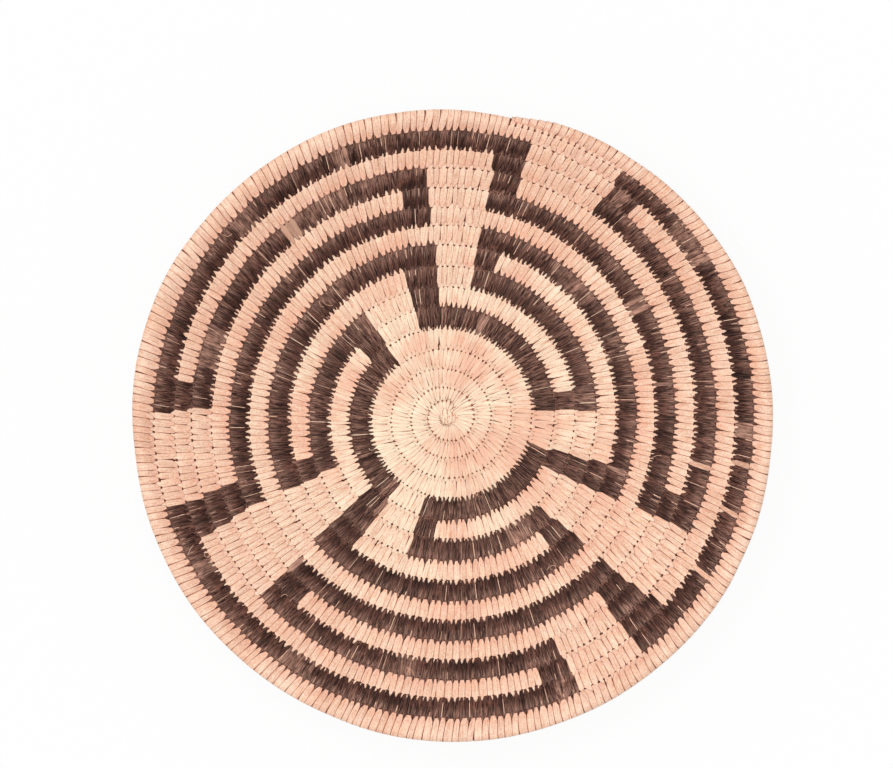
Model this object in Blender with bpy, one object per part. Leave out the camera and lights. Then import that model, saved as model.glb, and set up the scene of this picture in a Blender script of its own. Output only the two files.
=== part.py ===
"""A coiled winnowing tray.

One bundle of grass lies in a spiral of sixteen turns, flat in the middle and
rising to the rim. Palm splints are sewn round it, turn by turn, in two colours.
Where the colour changes, the idle splint is carried on inside the coil, between
the grass and the stitches of the other colour, so the splint of each colour is
one piece in each turn. The tray lies mouth up, its flat base on z = 0.
"""

import math

import bmesh
import bpy

# The dish, measured along its surface through the middle of the coil
FLAT_RADIUS = 0.045
BOWL_RADIUS = 0.215

# The coil's turns, counted from where it starts beside the knot
TURN_COUNT = 16
END_TURN = 15.965
STEPS_PER_TURN = 24
START_ANGLE = math.radians(90)
KNOT_RADIUS = 0.0041
START_WIDTH = 0.0049
FIRST_TURN_GROWTH = 0.0066
COIL_PITCH = 0.01035
TURN_GAP = 0.00035
CLIMB_START_SHARE = 0.80

# The coil's section
COIL_THICKNESS = 0.0068
START_THICKNESS_SHARE = 0.80
CROWN_FLAT_SHARE = 0.66
CROWN_WALL = 0.0007
SIDE_INSET = 0.00035

# The idle splint inside the coil, and the grass between the two idle splints
STRAND_THICKNESS = 0.0006
STRAND_CLEARANCE = 0.0003
GRASS_CLEARANCE = 0.00035
GRASS_SHOULDER_SHARE = 0.66
GRASS_START_TURN = 0.04
GRASS_END_TURN = 15.925

# The rim coil's end: its width as a share of the full pitch, at a turn
TAPER_SHARES = (
    (15.80, 1.00),
    (15.86, 0.78),
    (15.89, 0.68),
    (15.92, 0.60),
    (15.95, 0.51),
    (15.965, 0.40),
)
TAPER_THICKNESS_SHARE = 0.5
BINDING_START_TURN = 15.935

# Stitch runs meet end to end with this gap
RUN_GAP = 0.0004
SHORTEST_STEP = 0.0005

# The knot: a turned button, its rings as shares of its radius and of the height that
# it keeps below the coil's crown
KNOT_DROP = 0.0004
KNOT_SEGMENTS = 12
KNOT_PROFILE_SHARES = ((0.66, 0.0), (0.98, 0.24), (1.0, 0.60), (0.82, 0.88), (0.40, 1.0))

# Where the stitches are dark in a turn, the innermost turn being number 1: degrees
# round the tray from +X, counter-clockwise from above, each turn from 90 to 450
TURN_START_DEGREES = 90.0
TURN_DEGREES = 360.0
DARK_RUN_DEGREES = {
    5: ((130.3, 233.4), (254.0, 343.0), (364.8, 450.0)),
    6: ((90.0, 106.3), (128.4, 141.2), (221.7, 234.6), (253.6, 263.8), (334.0, 344.2), (364.6, 373.2)),
    7: ((93.6, 106.3), (128.1, 203.0), (221.9, 234.0), (253.8, 316.5), (334.1, 343.5), (363.3, 439.7)),
    8: ((93.8, 106.2), (195.5, 203.9), (222.0, 233.4), (309.1, 317.5), (334.2, 344.5), (432.3, 440.0)),
    9: ((93.7, 203.7), (222.0, 317.9), (334.6, 439.8)),
    11: ((94.5, 203.6), (223.0, 318.0), (335.2, 439.6)),
    12: ((94.7, 101.2), (196.4, 204.2), (223.2, 230.9), (311.2, 318.1), (335.4, 342.2), (433.0, 439.3)),
    13: ((94.7, 177.1), (196.7, 205.0), (223.2, 295.8), (310.4, 318.7), (335.2, 415.1), (433.2, 440.0)),
    14: ((171.5, 177.7), (197.4, 205.4), (290.0, 296.3), (310.4, 319.6), (408.7, 414.5), (433.1, 450.0)),
    15: ((90.0, 178.2), (197.2, 296.3), (310.4, 415.1)),
}

# Colours as the photograph shows them
NATURAL_COLOUR = (0.92, 0.62, 0.43, 1.0)
DARK_COLOUR = (0.065, 0.032, 0.026, 1.0)
GRASS_COLOUR = (0.60, 0.42, 0.24, 1.0)


def ramp(value):
    """0 below 0, 1 above 1, and an easy S curve between."""
    value = min(max(value, 0.0), 1.0)
    return value * value * (3.0 - 2.0 * value)


def share_at(table, turn):
    """The share that a table of (turn, share) gives at a turn, straight between its rows."""
    if turn <= table[0][0]:
        return table[0][1]
    for (low, first), (high, last) in zip(table, table[1:]):
        if turn <= high:
            return first + (last - first) * (turn - low) / (high - low)
    return table[-1][1]


def outer_edge(turn):
    """How far out from the axis the coil reaches, along the dish, before its end tapers."""
    start = KNOT_RADIUS + START_WIDTH
    first = start + FIRST_TURN_GROWTH
    if turn < 1.0:
        return start + (first - start) * turn
    return first + COIL_PITCH * (turn - 1.0)


def inner_edge(turn):
    """The edge that the coil lies against: the knot at first, then the turn before."""
    if turn >= 1.0:
        return outer_edge(turn - 1.0)
    climb = ramp((turn - CLIMB_START_SHARE) / (1.0 - CLIMB_START_SHARE))
    return KNOT_RADIUS + (outer_edge(0.0) - KNOT_RADIUS) * climb


def coil_size(turn):
    """The coil's centre along the dish, half its width and half its thickness."""
    inner = inner_edge(turn)
    taper = share_at(TAPER_SHARES, turn)
    width = (outer_edge(turn) - inner) * taper - TURN_GAP
    start = START_THICKNESS_SHARE + (1.0 - START_THICKNESS_SHARE) * ramp(turn)
    end = 1.0 - TAPER_THICKNESS_SHARE * (1.0 - taper)
    centre = inner + (TURN_GAP + width) / 2.0
    return centre, width / 2.0, COIL_THICKNESS / 2.0 * start * end


def placed(turn, outline):
    """An outline of (across, up) pairs set square on the dish at the coil's centre."""
    centre = coil_size(turn)[0]
    bend = max(centre - FLAT_RADIUS, 0.0) / BOWL_RADIUS
    radius = min(centre, FLAT_RADIUS) + BOWL_RADIUS * math.sin(bend)
    height = COIL_THICKNESS / 2.0 + BOWL_RADIUS * (1.0 - math.cos(bend))
    angle = START_ANGLE + math.tau * turn
    points = []
    for across, up in outline:
        out = radius + across * math.cos(bend) - up * math.sin(bend)
        level = height + across * math.sin(bend) + up * math.cos(bend)
        points.append((out * math.cos(angle), out * math.sin(angle), max(level, 0.0)))
    return points


def section(turn, outline_at):
    """The outline at a turn, on the straight chord between the two even steps beside it."""
    step = math.floor(turn * STEPS_PER_TURN + 1e-6)
    low, high = step / STEPS_PER_TURN, (step + 1) / STEPS_PER_TURN
    before = math.sin(max(turn - low, 0.0) * math.tau)
    after = math.sin((high - turn) * math.tau)
    share = before / (before + after)
    first = placed(low, outline_at(low))
    if share < 1e-6:
        return first
    last = placed(high, outline_at(high))
    return [
        tuple(a + (b - a) * share for a, b in zip(p, q)) for p, q in zip(first, last)
    ]


def skin_outline(turn):
    """The sewn coil: flat above and below, drawn in to an edge at each side."""
    _, half, thick = coil_size(turn)
    flat = half * CROWN_FLAT_SHARE
    return [
        (-flat, thick), (flat, thick), (half, 0.0),
        (flat, -thick), (-flat, -thick), (-half, 0.0),
    ]


def bore_sizes(turn):
    """Half the bore's width, the height it has over the other colour's idle splint,
    and the height it has over its own."""
    _, half, thick = coil_size(turn)
    wide = half * CROWN_FLAT_SHARE - SIDE_INSET
    tall = thick - CROWN_WALL
    return wide, tall, tall - STRAND_CLEARANCE - STRAND_THICKNESS


def bore_outline(side):
    """The bore of a sleeve whose own idle splint lies above (1), below (-1) or nowhere (0)."""

    def outline(turn):
        wide, tall, low = bore_sizes(turn)
        near = wide - STRAND_CLEARANCE
        other = tall if side else low
        sign = -1 if side < 0 else 1
        return [
            (-near, low * sign), (near, low * sign), (wide, -other * sign), (-wide, -other * sign),
        ]

    return outline


def strand_outline(side):
    """The idle splint's far face, which stays clear of the other colour's stitches."""

    def outline(turn):
        wide, tall, _ = bore_sizes(turn)
        wide -= STRAND_CLEARANCE
        tall = (tall - STRAND_CLEARANCE) * side
        return [(-wide, tall), (wide, tall)]

    return outline


def grass_outline(turn):
    """The bundle: a flat six-sided oval between the two idle splints."""
    wide, _, low = bore_sizes(turn)
    wide -= GRASS_CLEARANCE
    low -= GRASS_CLEARANCE
    shoulder = wide * GRASS_SHOULDER_SHARE
    return [
        (-shoulder, low), (shoulder, low), (wide, 0.0),
        (shoulder, -low), (-shoulder, -low), (-wide, 0.0),
    ]


def turns_for(length, turn):
    """A length along the coil as a share of a turn."""
    return length / (math.tau * coil_size(turn)[0])


def steps_between(start, end):
    """The two ends and the even steps between them, but none too near an end."""
    first = math.ceil((start + turns_for(SHORTEST_STEP, start)) * STEPS_PER_TURN)
    last = math.floor((end - turns_for(SHORTEST_STEP, end)) * STEPS_PER_TURN)
    return [start] + [step / STEPS_PER_TURN for step in range(first, last + 1)] + [end]


def material(name, colour, roughness):
    made = bpy.data.materials.new(name)
    made.use_nodes = True
    shader = made.node_tree.nodes["Principled BSDF"]
    shader.inputs["Base Color"].default_value = colour
    shader.inputs["Roughness"].default_value = roughness
    shader.inputs["Metallic"].default_value = 0.0
    made.diffuse_color = colour
    return made


def finish(name, shape, look):
    """One closed body, faces out, as a named object of the tray."""
    bmesh.ops.recalc_face_normals(shape, faces=shape.faces)
    mesh = bpy.data.meshes.new(name)
    shape.to_mesh(mesh)
    shape.free()
    mesh.shade_smooth()
    mesh.set_sharp_from_angle(angle=math.radians(35))
    mesh.materials.append(look)
    body = bpy.data.objects.new(name, mesh)
    body.parent = tray
    bpy.context.scene.collection.objects.link(body)
    return body


def ring(shape, points):
    return [shape.verts.new(point) for point in points]


def wrap(shape, first, last):
    """Quads between two closed outlines of as many points."""
    count = len(first)
    for i in range(count):
        j = (i + 1) % count
        shape.faces.new((first[i], first[j], last[j], last[i]))


def cap_ring(shape, skin, bore, strand):
    """The end face of a sleeve: the wall between its skin and its bore, round the
    idle splint where one goes on from here. Points run from the side the splint is on."""
    a, b, c, d = bore
    tl, tr, r, br, bl, l = skin
    if strand:
        left, right = strand
        shape.faces.new((tl, tr, right, left))
        shape.faces.new((tr, r, b, right))
        shape.faces.new((l, tl, left, a))
    else:
        shape.faces.new((tl, tr, b, a))
        shape.faces.new((tr, r, b))
        shape.faces.new((l, tl, a))
    shape.faces.new((r, c, b))
    shape.faces.new((r, br, c))
    shape.faces.new((br, bl, d, c))
    shape.faces.new((bl, l, d))
    shape.faces.new((l, a, d))


def splint(name, runs, side, look):
    """The splint of one colour in one turn: a sleeve for each run of its stitches, and
    the idle splint between one run and the next."""
    shape = bmesh.new()
    ahead = None
    for number, (start, end) in enumerate(runs):
        sleeves = []
        for turn in steps_between(start, end):
            skin = ring(shape, section(turn, skin_outline))
            bore = ring(shape, section(turn, bore_outline(side)))
            if side < 0:
                skin = [skin[i] for i in (4, 3, 2, 1, 0, 5)]
            sleeves.append((skin, bore))
        for (skin, bore), (next_skin, next_bore) in zip(sleeves, sleeves[1:]):
            wrap(shape, skin, next_skin)
            wrap(shape, bore, next_bore)
        skin, bore = sleeves[0]
        if ahead:
            strand = ring(shape, section(start, strand_outline(side)))
            steps = steps_between(ahead[0], start)[1:-1]
            bars = [ahead[1]]
            for turn in steps:
                near = ring(shape, section(turn, bore_outline(side))[:2])
                far = ring(shape, section(turn, strand_outline(side)))
                bars.append([near[0], near[1], far[1], far[0]])
            bars.append([bore[0], bore[1], strand[1], strand[0]])
            for one, two in zip(bars, bars[1:]):
                wrap(shape, one, two)
            cap_ring(shape, skin, bore, strand)
        else:
            cap_ring(shape, skin, bore, None)
        skin, bore = sleeves[-1]
        if number + 1 < len(runs):
            strand = ring(shape, section(end, strand_outline(side)))
            cap_ring(shape, skin, bore, strand)
            ahead = (end, [bore[0], bore[1], strand[1], strand[0]])
        else:
            cap_ring(shape, skin, bore, None)
    return finish(name, shape, look)


def solid_coil(name, start, end, outline_at, look):
    """An unbroken solid tube along the coil from one turn to another."""
    shape = bmesh.new()
    rings = [ring(shape, section(t, outline_at)) for t in steps_between(start, end)]
    for one, two in zip(rings, rings[1:]):
        wrap(shape, one, two)
    shape.faces.new(rings[0])
    shape.faces.new(rings[-1])
    return finish(name, shape, look)


def button(name, look):
    """The knot that the coil starts from, turned about the tray's axis, flat beneath."""
    shape = bmesh.new()
    reach = KNOT_RADIUS - TURN_GAP / 2.0
    tall = COIL_THICKNESS - KNOT_DROP
    rings = []
    for wide_share, high_share in KNOT_PROFILE_SHARES:
        turned = [math.tau * i / KNOT_SEGMENTS for i in range(KNOT_SEGMENTS)]
        wide = reach * wide_share
        high = tall * high_share
        rings.append(ring(shape, [(wide * math.cos(a), wide * math.sin(a), high) for a in turned]))
    for one, two in zip(rings, rings[1:]):
        wrap(shape, one, two)
    shape.faces.new(rings[0])
    shape.faces.new(rings[-1])
    return finish(name, shape, look)


def runs_in(number, dark):
    """Where one colour is sewn in a turn, as places along the coil counted in turns from
    its start, each run drawn in by half the gap."""
    low, high = number - 1.0, min(float(number), BINDING_START_TURN)
    edges = [low]
    for pair in DARK_RUN_DEGREES.get(number, ()):
        edges += [low + (degrees - TURN_START_DEGREES) / TURN_DEGREES for degrees in pair]
    edges.append(high)
    runs = list(zip(edges[1::2], edges[2::2])) if dark else list(zip(edges[::2], edges[1::2]))
    found = []
    for start, end in runs:
        half = turns_for(RUN_GAP, (start + end) / 2.0) / 2.0
        if end - start > 4.0 * half:
            found.append((start + half, end - half))
    return found


def least_gap_to_itself():
    """The least distance between the bundle's outline and the next turn's beside it."""
    least = math.inf
    first = math.ceil(GRASS_START_TURN * STEPS_PER_TURN)
    last = math.floor((GRASS_END_TURN - 1.0) * STEPS_PER_TURN)
    for step in range(first, last + 1):
        turn = step / STEPS_PER_TURN
        one = section(turn, grass_outline)
        two = section(turn + 1.0, grass_outline)
        least = min(least, min(math.dist(p, q) for p in one for q in two))
    return least


for old in list(bpy.data.objects):
    bpy.data.objects.remove(old, do_unlink=True)

tray = bpy.data.objects.new("winnowing_tray", None)
bpy.context.scene.collection.objects.link(tray)

natural = material("natural_splint", NATURAL_COLOUR, 0.55)
dark = material("dark_splint", DARK_COLOUR, 0.60)
grass = material("grass", GRASS_COLOUR, 0.75)

button("start_knot", natural)

# The grass, one unbroken spiral
solid_coil("grass_foundation_coil", GRASS_START_TURN, GRASS_END_TURN, grass_outline, grass)
print(f"least gap from the grass coil to itself: {least_gap_to_itself() * 1000:.2f} mm")

# The stitches, turn by turn
for number in range(1, TURN_COUNT + 1):
    has_dark = number in DARK_RUN_DEGREES
    side = 1 if has_dark else 0
    splint(f"turn_{number:02d}_natural_splint", runs_in(number, False), side, natural)
    if has_dark:
        splint(f"turn_{number:02d}_dark_splint", runs_in(number, True), -1, dark)

# The tip of the rim coil, where the bundle has run out
binding_start = BINDING_START_TURN + turns_for(RUN_GAP, BINDING_START_TURN) / 2.0
solid_coil("rim_end_binding", binding_start, END_TURN, skin_outline, natural)
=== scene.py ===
# %% [markdown]
# # A coiled winnowing tray
#
# The real tray is one bundle of grass laid in a spiral of sixteen turns and sewn, turn to
# turn, with flat palm splints, undyed or dyed dark brown. Nothing is woven: all that you see
# is stitches, nearly three thousand of them, each going round the bundle and piercing the
# turn before. This file dresses the solids of the CAD model with them. A picture of stitches
# on a smooth dish would do from afar, but the points, the pits between them and the rim
# would be flat, so here every stitch is a small band of its own, worked out with numpy.

# %% Load the CAD solids as a fixed frame
import math

import bpy
import numpy as np
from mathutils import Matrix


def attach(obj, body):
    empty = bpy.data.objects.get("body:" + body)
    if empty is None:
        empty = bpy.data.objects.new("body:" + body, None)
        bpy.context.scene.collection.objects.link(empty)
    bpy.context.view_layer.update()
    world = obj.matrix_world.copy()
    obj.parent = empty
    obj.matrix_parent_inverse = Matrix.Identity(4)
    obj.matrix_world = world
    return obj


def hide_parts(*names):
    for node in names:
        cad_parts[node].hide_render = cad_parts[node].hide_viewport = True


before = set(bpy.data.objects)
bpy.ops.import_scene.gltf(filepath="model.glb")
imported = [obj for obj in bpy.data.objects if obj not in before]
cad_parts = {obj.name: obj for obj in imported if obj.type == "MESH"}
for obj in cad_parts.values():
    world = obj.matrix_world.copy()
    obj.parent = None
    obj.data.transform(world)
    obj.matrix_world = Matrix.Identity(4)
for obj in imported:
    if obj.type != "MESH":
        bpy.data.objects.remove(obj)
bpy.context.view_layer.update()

# %% [markdown]
# ## The dish and the spiral
#
# The tray is flat in the middle and then rises on a gentle arc. A place on it is given by
# how far out it lies along the dish, how high it stands above the middle of the coil, and
# an angle. The coil is a spiral in those terms: its edge moves out by one pitch in each
# turn. The same formulas made the CAD solids. A hand-sewn spiral is never even, though, so
# here the edge also has a list of small departures, of 3 mm at most.

# %% The dish: a flat middle and an arc
MM = 0.001
FLAT_RADIUS = 45.0 * MM
BOWL_RADIUS = 215.0 * MM
HALF_THICK = 3.4 * MM
START_THICK_SHARE, THICK_GROWTH_SHARE = 0.8, 0.2  # the coil starts thinner and grows in a turn
START_ANGLE = math.radians(90.0)


def joined(*parts):
    """Numbers or arrays, spread to one shape and put side by side in a last axis."""
    return np.stack(np.broadcast_arrays(*parts), axis=-1)


def dish_point(along, lift, turn):
    """A point of the dish. Out to FLAT_RADIUS the way along it is level; beyond, the bend is
    the way left over divided by BOWL_RADIUS, and the point lies at the end of an arm of
    BOWL_RADIUS less the lift, turned by that bend."""
    bend = np.maximum(along - FLAT_RADIUS, 0.0) / BOWL_RADIUS
    arm = BOWL_RADIUS - lift
    radius = np.minimum(along, FLAT_RADIUS) + arm * np.sin(bend)
    height = HALF_THICK + BOWL_RADIUS - arm * np.cos(bend)
    angle = START_ANGLE + math.tau * turn
    return joined(radius * np.cos(angle), radius * np.sin(angle), np.maximum(height, 0.0))


# %% The coil: where its edges lie, and how thick it is
KNOT_RADIUS = 4.1 * MM
FIRST_EDGE = 9.0 * MM
FIRST_TURN_GROWTH = 6.6 * MM
COIL_PITCH = 10.35 * MM
RIM_PITCH = 8.3 * MM
CLIMB_START_SHARE = 0.80
COIL_TIP = -0.12
END_TURN = 15.965
BINDING_START_TURN = 15.935
# at its end the coil narrows and thins: at these turns its width as a share of RIM_PITCH,
# and its thickness, of which only a part tapers
TAPER_TURNS = (15.80, 15.82, 15.86, 15.89, 15.92, 15.945, 15.965)
TAPER_WIDTHS = (0.762, 0.86, 0.82, 0.79, 0.71, 0.54, 0.17)
TAPER_THICKS = (1.0, 0.93, *TAPER_WIDTHS[2:])
TAPERING_SHARE = 0.5
# pairs: a turn, and how far the coil's outer edge departs there from the even spiral, in mm
NUDGES = np.array((
    0.0, 2.2, 0.1, 2.1, 0.2, 1.5, 0.33, 0.5, 0.5, 0.5, 0.58, 1.1, 0.75, 1.9, 1.0, 2.3, 1.08, 2.6,
    1.2, 2.1, 1.35, 1.5, 1.5, 0.9, 1.75, 0.8, 1.88, 0.7, 1.97, 1.2, 2.1, 1.8, 2.27, 1.6, 2.44, 0.8,
    2.62, 0.2, 2.7, 0.3, 2.8, 0.9, 2.95, 0.9, 3.05, 0.3, 3.12, 0.4, 3.22, 0.9, 3.35, 0.2,
    3.44, 0.4, 3.6, 0.0, 3.67, -0.3, 3.75, 0.3, 3.95, 0.5, 4.05, 0.6, 4.2, 1.1, 4.27, 1.5,
    4.4, 0.9, 4.52, 0.9, 4.6, 0.5, 4.77, 1.6, 4.88, 1.0, 4.97, 1.4, 5.06, 1.0, 5.15, 0.4,
    5.23, 1.1, 5.35, 0.8, 5.48, 0.3, 5.6, 0.4, 5.81, 1.5, 5.98, 0.6, 6.1, 0.9, 6.2, 1.4, 6.4, 1.5,
    6.52, 0.9, 6.65, 0.9, 6.78, 1.8, 6.95, 1.7, 7.03, 0.8, 7.12, 1.2, 7.27, 0.7, 7.5, 0.7,
    7.7, 0.9, 7.83, 1.4, 7.94, 1.2, 8.02, 2.0, 8.2, 2.0, 8.3, 1.6, 8.45, 1.2, 8.6, 1.3, 8.73, 1.0,
    8.81, 1.7, 8.98, 1.6, 9.03, 1.0, 9.1, 1.4, 9.27, 1.5, 9.38, 1.0, 9.46, 0.2, 9.56, 0.3,
    9.63, 0.8, 9.75, 0.2, 9.88, 1.0, 9.98, 0.3, 10.12, 1.2, 10.27, 1.4, 10.42, 0.5, 10.6, 1.3,
    10.69, 1.4, 10.74, 0.4, 10.82, 1.5, 10.9, 1.3, 10.98, 0.5, 11.25, 0.8, 11.31, 0.1, 11.42, 0.3,
    11.54, 0.7, 11.6, 0.2, 11.72, 0.0, 11.82, 1.5, 11.88, 1.6, 12.0, 1.1, 12.08, 1.5, 12.24, 1.5,
    12.31, 0.8, 12.5, 0.9, 12.57, 1.6, 12.82, 2.0, 12.9, 1.4, 12.98, 0.5, 13.1, 0.9, 13.2, 0.5,
    13.31, 0.0, 13.42, 0.2, 13.55, 0.8, 13.64, 1.7, 13.8, 1.9, 13.9, 0.5, 13.97, 0.7, 14.03, 1.9,
    14.07, 2.3, 14.12, 1.8, 14.2, 1.2, 14.3, 0.2, 14.4, -0.8, 14.46, -0.4, 14.52, 0.5, 14.57, 2.1,
    14.62, 2.8, 14.8, 2.9, 14.86, 1.3, 14.9, -0.8, 14.935, -1.4, 14.96, -2.0, 14.972, -1.4,
    14.985, -1.2, 15.0, -0.8, 15.05, -0.4, 15.12, -0.8, 15.17, -0.1, 15.22, -0.9, 15.27, -2.7,
    15.41, -2.8, 15.44, -2.5, 15.5, -1.0, 15.6, -0.4, 15.65, 0.4, 15.667, 0.7, 15.68, 0.1,
    15.7, 0.0, 15.736, -0.9, 15.8, -0.9, 15.86, 0.0, 15.9, 0.6,
)).reshape(-1, 2)
# the turns lie a little to the upper right of true: how much for each turn, and which way
SWING, SWING_START, SWING_END, SWING_FADE = 0.11 * MM, 2.0, 13.95, 0.07
SWING_TO = math.radians(46.0)
WOBBLE, WOBBLE_GROWTH_TURNS = 0.10 * MM, 3.0
WOBBLES_IN_A_TURN = (2.63, 7.37, 17.1)


def ramp(value):
    """0 below 0, 1 above 1, and an easy S curve between."""
    value = np.clip(value, 0.0, 1.0)
    return value * value * (3.0 - 2.0 * value)


def climb_edge(turn):
    """The knot's edge, and near the end of the first turn a climb to the coil's own start."""
    climb = ramp((turn - CLIMB_START_SHARE) / (1.0 - CLIMB_START_SHARE))
    start = FIRST_EDGE + NUDGES[0, 1] * MM
    return KNOT_RADIUS + (start - KNOT_RADIUS) * climb


def outer_edge(turn):
    """The coil's outer edge along the dish: steady growth, less in the first turn, plus the
    nudges, a swing to one side that grows by SWING in each turn, and a sum of sine waves as
    a wobble. Before turn 0 it is the thin tip under the first turn's end."""
    turn = np.asarray(turn, float)
    even = (FIRST_EDGE + FIRST_TURN_GROWTH * np.minimum(turn, 1.0)
            + COIL_PITCH * np.maximum(turn - 1.0, 0.0))
    swing = SWING * np.clip(turn - SWING_START, 0.0, SWING_END - SWING_START)
    swing = swing * ramp((SWING_END + SWING_FADE - turn) / SWING_FADE)
    swing = swing * np.cos(START_ANGLE + math.tau * turn - SWING_TO)
    sway = sum(np.sin(math.tau * beats * turn + beats) for beats in WOBBLES_IN_A_TURN)
    wobble = WOBBLE * sway * ramp(turn / WOBBLE_GROWTH_TURNS)
    edge = even + np.interp(turn, *NUDGES.T) * MM + swing + wobble
    return np.where(turn < 0.0, climb_edge(turn + 1.0), edge)


def inner_edge(turn):
    """The edge that the coil lies against: the knot at first, then the turn before."""
    return np.where(turn >= 1.0, outer_edge(turn - 1.0), climb_edge(turn))


def coil_size(turn):
    """The coil's centre along the dish, half its width, and half its thickness. The width is
    the way between its edges, or at its end the taper's."""
    turn = np.asarray(turn, float)
    inner = inner_edge(turn)
    tapered = RIM_PITCH * np.interp(turn, TAPER_TURNS, TAPER_WIDTHS)
    width = np.where(turn > TAPER_TURNS[0], tapered, outer_edge(turn) - inner)
    taper = np.interp(turn, TAPER_TURNS, TAPER_THICKS)
    thick = HALF_THICK * (START_THICK_SHARE + THICK_GROWTH_SHARE * ramp(turn))
    thick = thick * (1.0 - TAPERING_SHARE * (1.0 - taper))
    return inner + width / 2.0, width / 2.0, thick


print("rim's outer edge along the dish, mm:", float(outer_edge(np.array(15.8))) / MM)

# %% [markdown]
# ## The pattern
#
# The dark figures are a matter of counting stitches: in each turn the sewer changes colour
# at certain places. So the pattern is a list of places for each turn, in degrees round the
# tray, each turn running from 90 to 450.

# %% Where the stitches are dark, and where the dye has faded
DARK_RUN_DEGREES = {
    5: ((130.3, 233.4), (254.0, 343.0), (364.8, 450.0)),
    6: ((90.0, 106.3), (128.4, 141.2), (221.7, 234.6), (253.6, 263.8), (334.0, 344.2),
        (364.6, 373.2)),
    7: ((93.6, 106.3), (128.1, 203.0), (221.9, 234.0), (253.8, 316.5), (334.1, 343.5),
        (363.3, 439.7)),
    8: ((93.8, 106.2), (195.5, 203.9), (222.0, 233.4), (309.1, 317.5), (334.2, 344.5),
        (432.3, 440.0)),
    9: ((93.7, 203.7), (222.0, 317.9), (334.6, 439.8)),
    11: ((94.5, 203.6), (223.0, 318.0), (335.2, 439.6)),
    12: ((94.7, 101.2), (196.4, 204.2), (223.2, 230.9), (311.2, 318.1), (335.4, 342.2),
         (433.0, 439.3)),
    13: ((94.7, 177.1), (196.7, 205.0), (223.2, 295.8), (310.4, 318.7), (335.2, 415.1),
         (433.2, 440.0)),
    14: ((171.5, 177.7), (197.4, 205.4), (290.0, 296.3), (310.4, 319.6), (408.7, 414.5),
         (433.1, 450.0)),
    15: ((90.0, 178.2), (197.2, 296.3), (310.4, 415.1)),
}
# turn, from, to, how much of the dye is lost there
FADED = (
    (5, 270, 305, 0.25), (5, 427, 433, 0.6), (5, 229, 231, 0.4),
    (6, 232.5, 234.6, 0.5),
    (7, 128, 139, 0.35), (7, 297.8, 309, 0.45), (7, 363.5, 374, 0.35),
    (9, 128, 140, 0.25), (9, 378, 388, 0.35), (9, 400, 416, 0.35), (9, 342.8, 344.2, 0.7),
    (11, 223, 225, 0.8), (11, 368.6, 370, 0.6), (11, 389.5, 393, 0.6), (11, 416.5, 417.5, 0.8),
    (13, 108, 127, 0.35), (13, 127.5, 131, 0.85), (13, 157.5, 168, 0.5), (13, 258, 263, 0.45),
    (13, 349, 350, 0.9),
    (14, 411, 413.5, 0.5),
    (15, 110, 114, 0.5), (15, 132, 138, 0.45), (15, 209, 213, 0.5), (15, 235, 242, 0.45),
    (15, 292, 296.3, 0.4), (15, 329, 330, 0.9), (15, 341.6, 342.5, 0.9), (15, 351.6, 352.6, 0.9),
    (15, 357, 360, 0.5), (15, 391, 401, 0.45),
)
TURNS = range(1, 17)


def turn_of(number, degrees):
    """A place in the turn with this number, counted in turns from the coil's start."""
    return number - 1.0 + (degrees - 90.0) / 360.0


def runs_of(number):
    """The runs of one turn in order, each as its start, its end, and whether it is dark."""
    edges, dark = [number - 1.0 if number > 1 else COIL_TIP], []
    for first, last in DARK_RUN_DEGREES.get(number, ()):
        edges += [turn_of(number, first), turn_of(number, last)]
        dark += [False, True]
    edges.append(min(float(number), END_TURN))
    dark.append(False)
    return [(a, b, d) for a, b, d in zip(edges, edges[1:], dark) if b - a > 1e-6]


print("runs in each turn:", [len(runs_of(n)) for n in TURNS])

# %% [markdown]
# ## The plan of the stitches
#
# A hand-sewn stitch is never quite as wide as the next, and it leans: it comes up at the
# inner side a little further round than where it goes over the outer edge. Its inner end is
# a tongue that pushes in between two stitches of the turn before. The dyed splint is cut
# narrower. So before any shape is made, each turn gets its plan: where each stitch begins and
# ends, and which gap in the turn before its point goes into. Even stitches moved about by a
# noise would be simpler, but their tongues would miss the gaps.

# %% How wide the stitches are, how they lean, and where their points go
STITCH_WIDTHS = dict(zip(TURNS, (1.8, 1.85, 2.1, 2.2, 2.3, 2.7, 2.6, 3.1, 2.8, 3.3, 3.1, 3.3,
                                 3.2, 3.5, 3.4, 3.7)))
DARK_WIDTHS = {5: 2.3, 6: 2.4, 7: 2.3, 8: 2.5, 9: 2.5,
               11: 2.5, 12: 2.55, 13: 2.65, 14: 2.6, 15: 2.8}
LEAN_DEGREES = dict(zip(TURNS, (11, 11, 10, 7, 6, 5, 4, 5, 5, 5, 5, 5, 5, 5, 6, 9)))
FIRST_TURNS, INNER_TURNS = 3, 5  # turns 1 and 2 are the tightest; 1 to 4 make the plain disc
LEAN_JITTER_DEGREES, FIRST_LEAN_JITTER_DEGREES = 2.0, 1.0
WIDTH_JITTER, WIDTH_LIMIT = 0.11, 0.25  # shares of a stitch's width
ARC_STEPS = 200
LONE_PULL, SHARED_PULL = 0.9, 0.45  # how far a point goes to its gap, alone or with another
OTHER_PULL = 0.25  # times this where the gap is in the other colour, whose gaps don't match
REACH, REACH_JITTER, REACH_LIMIT = 2.15 * MM, 0.13, 0.2
FIRST_REACH_SHARE = 0.62
WIDE_GAP, WIDE_GAP_SHARE = 0.12 * MM, 0.04
GAP_PLACE_SHARE = 0.8  # where across the half width a gap is taken, as the next turn meets it
luck = np.random.default_rng(16)


def radius_at(turn):
    """How far the coil's middle is from the tray's axis."""
    centre = coil_size(turn)[0]
    level = np.zeros_like(centre)
    return np.hypot(*np.moveaxis(dish_point(centre, level, level), -1, 0)[:2])


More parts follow.
